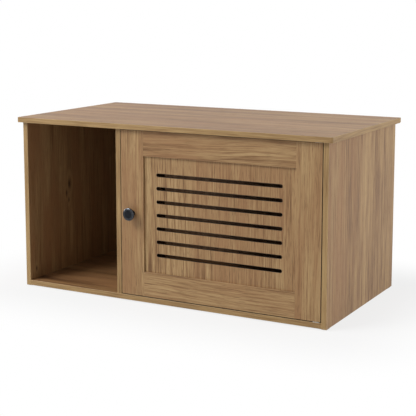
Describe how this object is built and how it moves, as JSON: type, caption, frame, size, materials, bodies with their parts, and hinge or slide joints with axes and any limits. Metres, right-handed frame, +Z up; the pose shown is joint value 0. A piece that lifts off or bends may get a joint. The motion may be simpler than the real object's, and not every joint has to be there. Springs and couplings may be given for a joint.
{
  "type": "cat litter box cabinet",
  "caption": "Low wooden cabinet that hides a cat litter tray: an open cubby at one end, a slotted door on pivot pins at the other, and a part-depth divider with a way through behind it.",
  "frame": {"origin": "on the floor, under the middle of the box that holds the whole cabinet and its knob", "axes": "+X to the right seen from the front, the front and the door face -Y, +Z up"},
  "size_m": [1, 0.544, 0.51],
  "materials": {
    "laminate": "brown wood-grain laminate, satin",
    "edge_band": "wood-grain edge band, satin",
    "back_board": "brown faced hardboard, matte",
    "dowel_wood": "bare beech",
    "zinc": "die-cast zinc",
    "steel": "zinc-plated steel",
    "knob_metal": "dark satin",
    "glide_plastic": "black, matte",
    "bush_plastic": "light grey nylon",
    "catch_plastic": "brown moulded plastic",
    "magnet": "sintered ferrite"
  },
  "bodies": {
    "cabinet": {"top_panel": "laminate", "top_edge_band": "edge_band", "left_side_panel": "laminate", "left_side_edge_band": "edge_band", "right_side_panel": "laminate", "right_side_edge_band": "edge_band", "bottom_panel": "laminate", "bottom_edge_band": "edge_band", "divider_panel": "laminate", "divider_edge_bands": "edge_band", "back_panel": "back_board", "cam_locks": "zinc", "cam_bolts": "steel", "board_dowels": "dowel_wood", "floor_glides": "glide_plastic", "lower_pivot_pin": "steel", "upper_pivot_pin": "steel", "catch_body": "catch_plastic", "catch_magnet": "magnet", "catch_pole_plates": "steel", "catch_screws": "steel"},
    "door": {"door_left_stile": "laminate", "door_right_stile": "laminate", "door_top_rail": "laminate", "door_bottom_rail": "laminate", "door_slotted_panel": "laminate", "lower_pivot_bush": "bush_plastic", "upper_pivot_bush": "bush_plastic", "knob": "knob_metal", "knob_screw": "steel", "strike_plate": "steel", "strike_screw": "steel"}
  },
  "joints": [
    {"name": "door_hinge", "type": "hinge", "parent": "cabinet", "child": "door", "pos_m": [0.456, -0.2415, 0.25675], "axis": [0, 0, 1], "range_deg": [0, 130]}
  ]
}
